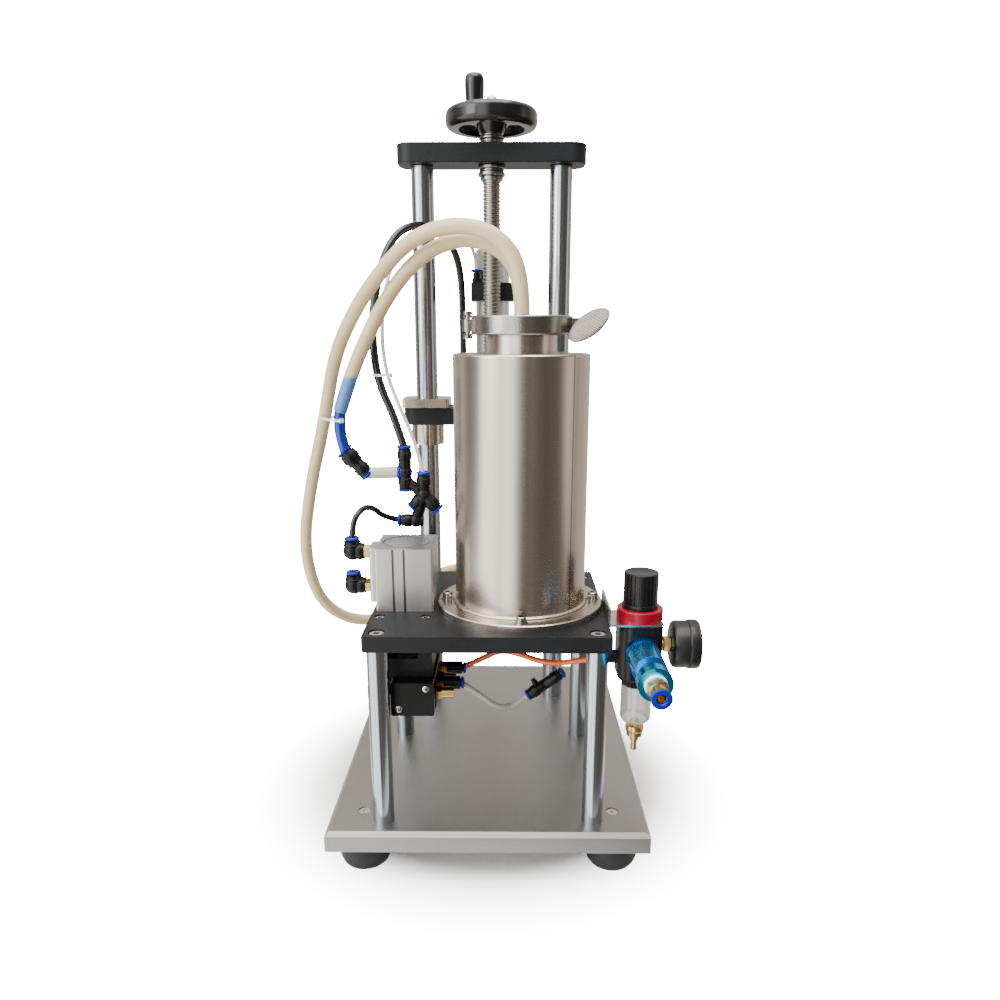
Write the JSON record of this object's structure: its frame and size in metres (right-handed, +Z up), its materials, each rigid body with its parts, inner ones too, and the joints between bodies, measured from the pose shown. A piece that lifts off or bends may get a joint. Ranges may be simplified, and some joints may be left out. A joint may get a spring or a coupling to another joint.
{
  "type": "piston liquid filler",
  "caption": "Benchtop filler: bolted tank on a post table, hoses to a dosing head on a crosshead raised by a handwheel screw, with an air regulator.",
  "frame": {"origin": "middle of the base plate's top face, the datum that the posts, columns and bottle stand on", "axes": "+Z up, +X to the right as seen from the tank side, +Y from the tank towards the dosing head"},
  "size_m": [0.4285, 0.4475, 0.7828],
  "materials": {
    "anodised": "satin clear anodised",
    "rubber": "moulded",
    "steel": "bright zinc or nickel",
    "polished_shaft": "hard-chromed ground shaft",
    "black_anodised": "black anodised aluminium",
    "black_plastic": "moulded",
    "nickel": "nickel plated",
    "brass": "machined",
    "grey_tube": "satin",
    "stainless": "brushed",
    "white_seal": "silicone",
    "black_paint": "satin black paint",
    "red_plastic": "moulded",
    "clear_bowl": "clear polycarbonate",
    "blue_anodised": "blue anodised",
    "silicone": "translucent silicone",
    "blue_tube": "polyurethane",
    "black_tube": "polyurethane",
    "clear_tube": "clear polyurethane",
    "grey_tube_soft": "polyurethane",
    "orange_tube": "polyurethane"
  },
  "bodies": {
    "root": {"base_plate": "anodised", "rubber_feet": "rubber", "foot_screws": "steel", "support_posts": "polished_shaft", "columns": "polished_shaft", "frame_screws": "steel", "top_bar": "black_anodised", "mid_plate": "black_anodised", "u_bracket": "black_anodised", "plate_screws": "steel", "tank": "stainless", "lid_gasket": "white_seal", "tank_lid": "stainless", "clamp_halves": "stainless", "pinch_cylinder": "anodised", "brass_stems": "brass", "air_elbows": "black_plastic", "valve_body": "black_anodised", "valve_caps": "black_plastic", "regulator_bracket": "steel", "regulator_body": "black_paint", "regulator_ring": "red_plastic", "filter_bowl": "clear_bowl", "gauge": "black_plastic", "slide_valve": "blue_anodised", "inlet_fitting": "brass", "push_in_fittings": "black_plastic", "vacuum_hose": "silicone", "blue_tube": "blue_tube", "black_link_tube": "black_tube", "signal_tube": "grey_tube_soft", "supply_tube": "orange_tube", "product_hose": "silicone", "black_tube": "black_tube", "clear_tube": "clear_tube"},
    "spindle": {"lead_screw": "steel", "thrust_washers": "steel", "handwheel": "black_plastic", "wheel_hardware": "steel"},
    "crank": {"crank_handle": "black_plastic"},
    "crosshead": {"crosshead": "black_anodised", "linear_bearings": "nickel", "bearing_screws": "steel", "lead_nut": "brass", "drive_cylinder": "grey_tube", "port_block": "black_anodised", "drive_fittings": "black_plastic", "dosing_barrel": "stainless", "outlet_block": "stainless", "nozzle": "stainless"},
    "dosing_piston": {"dosing_piston": "steel"},
    "pinch_rod": {"pinch_rod": "steel"},
    "swivel_elbow": {"swivel_elbow": "black_plastic"},
    "valve_spool": {"valve_spool": "steel"},
    "clamp_bolt": {"clamp_bolt": "steel"},
    "wing_nut": {"wing_nut": "stainless"},
    "regulator_knob": {"regulator_knob": "black_plastic"},
    "gauge_needle": {"gauge_needle": "red_plastic"},
    "slide_sleeve": {"slide_sleeve": "blue_anodised"},
    "drain_valve": {"drain_valve": "brass"}
  },
  "joints": [
    {"name": "spindle_turn", "type": "hinge", "parent": "root", "child": "spindle", "pos_m": [0, 0.108, 0.65], "axis": [0, 0, 1], "range_deg": [-7205, 2255]},
    {"name": "crosshead_lift", "type": "slide", "parent": "root", "child": "crosshead", "axis": [0, 0, 1], "range_m": [-0.025, 0.08], "deforming": ["product_hose", "black_tube", "clear_tube"]},
    {"name": "crank_spin", "type": "hinge", "parent": "spindle", "child": "crank", "pos_m": [-0.0195, 0.14178, 0.7], "axis": [0, 0, 1], "continuous": true},
    {"name": "dosing_stroke", "type": "slide", "parent": "crosshead", "child": "dosing_piston", "axis": [0, 0, 1], "range_m": [0, 0.08]},
    {"name": "pinch_stroke", "type": "slide", "parent": "root", "child": "pinch_rod", "axis": [0, 0, -1], "range_m": [0, 0.012], "stiffness_N_per_m": 600, "springref_m": -0.01},
    {"name": "elbow_swivel", "type": "hinge", "parent": "root", "child": "swivel_elbow", "pos_m": [-0.135, -0.088, 0.208], "axis": [1, 0, 0], "continuous": true},
    {"name": "spool_shift", "type": "slide", "parent": "root", "child": "valve_spool", "axis": [0, 1, 0], "range_m": [0, 0.005]},
    {"name": "clamp_bolt_swing", "type": "hinge", "parent": "root", "child": "clamp_bolt", "pos_m": [0.0887, -0.0762, 0.458], "axis": [0, 0, 1], "range_deg": [0, 60]},
    {"name": "wing_nut_turn", "type": "hinge", "parent": "clamp_bolt", "child": "wing_nut", "pos_m": [0.0887, -0.0962, 0.458], "axis": [0, -1, 0], "range_deg": [-180, 180]},
    {"name": "pressure_knob_turn", "type": "hinge", "parent": "root", "child": "regulator_knob", "pos_m": [0.145, -0.126, 0.21], "axis": [0, 0, 1], "range_deg": [-720, 720]},
    {"name": "needle_swing", "type": "hinge", "parent": "root", "child": "gauge_needle", "pos_m": [0.2, -0.126, 0.161], "axis": [1, 0, 0], "range_deg": [0, 270], "stiffness_Nm_per_rad": 0.001},
    {"name": "slide_valve_shift", "type": "slide", "parent": "root", "child": "slide_sleeve", "axis": [0, 1, 0], "range_m": [0, 0.006]},
    {"name": "drain_turn", "type": "hinge", "parent": "root", "child": "drain_valve", "pos_m": [0.145, -0.126, 0.07], "axis": [0, 0, 1], "range_deg": [0, 180]}
  ],
  "couplings": [
    {"joint": "spindle_turn", "follows": "crosshead_lift", "rad_per_m": -1570.8}
  ]
}
